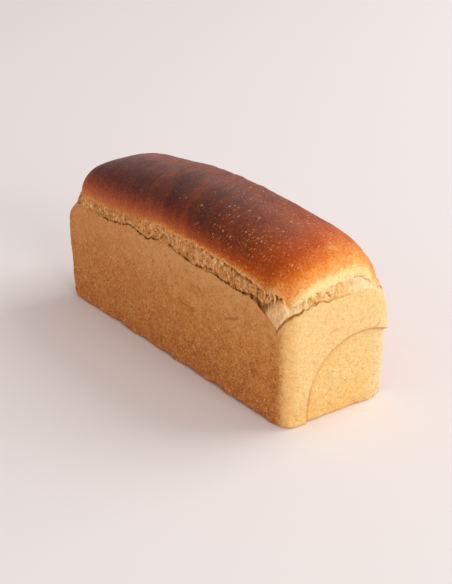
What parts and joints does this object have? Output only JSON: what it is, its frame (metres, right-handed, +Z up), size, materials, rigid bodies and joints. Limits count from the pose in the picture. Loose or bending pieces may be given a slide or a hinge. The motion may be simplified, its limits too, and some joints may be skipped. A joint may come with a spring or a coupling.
{
  "type": "white sandwich loaf",
  "caption": "Whole white loaf from a long open tin: square body, torn band of pale crumb above the rim and a domed brown crust.",
  "frame": {"origin": "centre of the loaf's outline, on the flat base it stands on", "axes": "+Z up, +X along the loaf towards the end with the fold of the rolled dough, -Y the long side with the wide tear"},
  "size_m": [0.335, 0.1062, 0.1526],
  "materials": {
    "crust": "baked crust, dry and slightly glossy on the dome, matt on the sides"
  },
  "bodies": {
    "root": {"loaf": "crust"}
  },
  "joints": []
}
